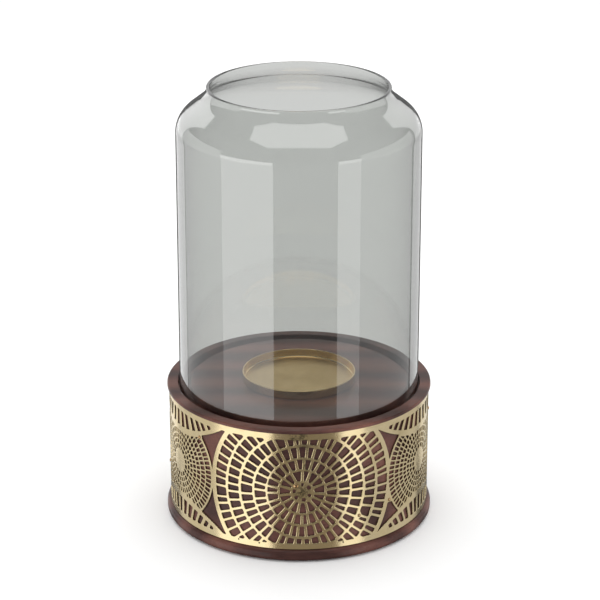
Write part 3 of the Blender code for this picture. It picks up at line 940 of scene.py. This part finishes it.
def band_mesh():
    """The pierced strip with its edges rounded over, rolled round the drum."""
    half = math.pi * BAND_MID - SEAM / 2
    outline = [(-half, -BAND_HALF), (half, -BAND_HALF), (half, BAND_HALF), (-half, BAND_HALF)]
    verts, normals, faces = flat_strip((outline, FINE_EDGE), band_openings())
    faces = cut_across(verts, normals, faces)
    rolled = []
    turned = []
    for (x, y, height), normal in zip(verts, normals):
        angle = x / BAND_MID
        outward = Vector((math.sin(angle), -math.cos(angle), 0.0))
        ahead = Vector((math.cos(angle), math.sin(angle), 0.0))
        rolled.append(outward * (BAND_MID + height) + Vector((0.0, 0.0, BAND_CENTRE_Z + y)))
        turned.append(ahead * normal.x + Vector((0.0, 0.0, normal.y)) + outward * normal.z)
    mesh = bpy.data.meshes.new("pierced_band")
    mesh.from_pydata(rolled, [], faces)
    mesh.polygons.foreach_set("use_smooth", [True] * len(mesh.polygons))
    mesh.normals_split_custom_set_from_vertices(turned)
    return mesh


def brad_mesh(radius, height):
    """A domed brad head on a short shank; its axis is +Z and the underside of its head is at 0."""
    shank = 0.0006
    turns = [math.radians(90 - 10 * i) for i in range(10)]
    points = [(radius * math.cos(a), height * math.sin(a)) for a in turns]
    points[0] = (0.0, height)
    points += [(shank, 0.0), (shank, -0.0085), (0.0, -0.0100)]
    return lathe("brad", points, 24)


# ---- Build --------------------------------------------------------------------------------------
wood = wood_material()
band_brass = band_material()
brad_brass = brad_material()
plate_brass = plate_material()
glass = glass_material()
felt = felt_material()
steel = steel_material()

turned_piece("turned_drum", drum_profile(), 256, False, wood, "base", "wood", "base_drum")
turned_piece("turned_plinth", plinth_profile(), 256, False, wood, "base", "wood", "base_plinth")
turned_piece("felt_disc", felt_profile(), 128, False, felt, "base", "felt", "felt_pad")
piece("pierced_band", band_mesh(), band_brass, "base", "band_brass", "brass_band")
turned_piece("blown_chimney", glass_profile(), 288, True, glass, "chimney", "glass", "glass_chimney")
turned_piece(
    "spun_plate", plate_profile(), 192, False, plate_brass, "plate", "plate_brass", "candle_plate"
)

for number, (angle, z, node) in enumerate(brad_places(), 1):
    by_hub = min(abs(angle - TURN - place) for place in WHEEL_PLACES) < HUB_TURN
    size = (HUB_BRAD_RADIUS, HUB_BRAD_HEIGHT) if by_hub else (BRAD_RADIUS, BRAD_HEIGHT)
    mesh = brad_mesh(*size)
    outward = turned_place(angle, 1.0, 0.0)
    place = Matrix.Translation(turned_place(angle, BAND_OUTER + BRAD_LIFT, z))
    mesh.transform(place @ outward.to_track_quat("Z", "Y").to_matrix().to_4x4())
    piece(f"brad_{number:02d}", mesh, brad_brass, "base", "band_brass", node)

for name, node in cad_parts.items():
    if name.startswith("plinth_screw"):
        node.data.materials.clear()
        node.data.materials.append(steel)

# ---- Floor, light and camera --------------------------------------------------------------------
FLOOR_HALF = 6
SKY = 1.02
# The grey that the floor and the sky have when they are seen through glass.
BACKDROP_GREY = 0.82
# The greys that reflections show of the floor, where they pass through glass, and of the sky.
MIRRORED_GREY = 0.26
MIRRORED_SKY = 0.12
# Upright lamps: first and last azimuth in degrees, low and high edge, distance, radiance.
SOFTBOXES = {
    "left_softbox": (-74.0, -23.0, -0.80, 0.28, 1.2, 1.20),
    "right_softbox": (35.0, 57.0, -0.80, 0.28, 1.2, 1.00),
    "right_fill": (57.0, 128.0, -0.80, 0.60, 1.3, 0.42),
    "left_fill": (-130.0, -74.0, -0.80, 0.60, 1.3, 0.52),
    "left_rear_softbox": (-158.0, -131.0, -0.60, 1.30, 1.4, 0.90),
    "right_rear_softbox": (131.0, 158.0, -0.60, 1.30, 1.4, 0.70),
    "rear_softbox": (158.0, 202.0, 0.35, 1.30, 1.4, 0.60),
    "front_fill": (-23.0, 35.0, -0.80, -0.36, 1.2, 0.13),
}
FRONT_FILL_COLOUR = (1.0, 0.80, 0.56)
TOP_SIZE = 1.4
TOP_RADIANCE = 0.9
TOP_PLACE = (0.0, -0.1, 1.75)
CAMERA_PLACE = (0.0, -1.549, 0.743)
CAMERA_DOWN = 20.75
CAMERA_LENS = 145.8
CAMERA_SHIFT = (0.001833, -0.006667)


def floor_material():
    """Pale paper. Glass and reflections show it as an even grey, whatever shadow lies on it."""
    s = Shade("pale_floor")
    s.set(Base_Color=(0.97, 0.97, 0.97), Roughness=0.9, Specular_IOR_Level=0.1)
    through_glass, mirrored = s.ray_tests()
    backdrop = s.node("ShaderNodeEmission")
    grey = s.math("MULTIPLY_ADD", mirrored, MIRRORED_GREY - BACKDROP_GREY, BACKDROP_GREY)
    s.link(grey, backdrop.inputs["Strength"])
    s.mixed_with(backdrop, s.math("MAXIMUM", through_glass, mirrored))
    s.material.cycles.emission_sampling = "NONE"
    return s.material


def light_world():
    """An even white sky, greyer through glass and dark in reflections."""
    world = bpy.data.worlds.new("studio")
    bpy.context.scene.world = world
    s = Nodes(world)
    through_glass, mirrored = s.ray_tests()
    strength = s.math("SUBTRACT", SKY, s.math("MULTIPLY", through_glass, SKY - BACKDROP_GREY))
    dimming = s.math("MULTIPLY", mirrored, s.math("SUBTRACT", strength, MIRRORED_SKY))
    sky = s.tree.nodes["Background"]
    s.link((1.0, 1.0, 1.0), sky.inputs["Color"])
    s.link(s.math("SUBTRACT", strength, dimming), sky.inputs["Strength"])


def hide_through_glass(lamp):
    """Stops a lamp from being seen straight through both walls of the glass, which is four faces.

    Its reflections stay. So does its light, except on what is seen through both walls.
    """
    s = Nodes(lamp)
    path = s.node("ShaderNodeLightPath").outputs
    no_glossy = s.math("LESS_THAN", path["Glossy Depth"], 0.5)
    no_diffuse = s.math("LESS_THAN", path["Diffuse Depth"], 0.5)
    both_walls = s.math("GREATER_THAN", path["Transmission Depth"], 3.5)
    straight = s.math("MULTIPLY", s.math("MULTIPLY", no_glossy, no_diffuse), both_walls)
    s.link(s.math("SUBTRACT", 1.0, straight), s.tree.nodes["Emission"].inputs["Strength"])


def area_lamp(name, width, height, radiance):
    """A lamp that looks equally bright from everywhere, whatever its size."""
    lamp = bpy.data.lights.new(name, "AREA")
    lamp.shape = "RECTANGLE"
    lamp.size = width
    lamp.size_y = height
    lamp.energy = radiance * math.pi * width * height
    hide_through_glass(lamp)
    return added(name, lamp)


def softbox(name, first, last, low, high, distance, radiance):
    """An upright lamp of an even brightness, between two azimuths and two heights.

    Azimuth 0 is at the camera's side, positive to the right. The lamp goes on below the floor's
    level, since reflections don't see the floor, so that the upright walls of the object reflect it.
    """
    width = 2 * distance * math.tan(math.radians(last - first) / 2)
    obj = area_lamp(name, width, high - low, radiance)
    outward = turned_place((first + last) / 2, 1.0, 0.0)
    obj.location = outward * distance + Vector((0.0, 0.0, (low + high) / 2))
    obj.rotation_euler = outward.to_track_quat("Z", "Y").to_euler()
    return obj


floor_corners = [(x * FLOOR_HALF, y * FLOOR_HALF, 0) for x, y in ((-1, -1), (1, -1), (1, 1), (-1, 1))]
floor_mesh = bpy.data.meshes.new("floor")
floor_mesh.from_pydata(floor_corners, [], [(0, 1, 2, 3)])
floor_mesh.materials.append(floor_material())
floor = added("floor", floor_mesh)
floor.visible_glossy = False

light_world()
lamps = {name: softbox(name, *row) for name, row in SOFTBOXES.items()}
lamps["front_fill"].data.color = FRONT_FILL_COLOUR
area_lamp("top_softbox", TOP_SIZE, TOP_SIZE, TOP_RADIANCE).location = TOP_PLACE

camera_data = bpy.data.cameras.new("camera")
camera_data.sensor_width = 36.0
camera_data.lens = CAMERA_LENS
camera_data.clip_start = 0.01
camera_data.shift_x, camera_data.shift_y = CAMERA_SHIFT
camera = added("camera", camera_data)
camera.location = CAMERA_PLACE
camera.rotation_euler = (math.radians(90.0 - CAMERA_DOWN), 0.0, 0.0)
bpy.context.scene.camera = camera

bpy.context.scene.view_settings.view_transform = "Standard"
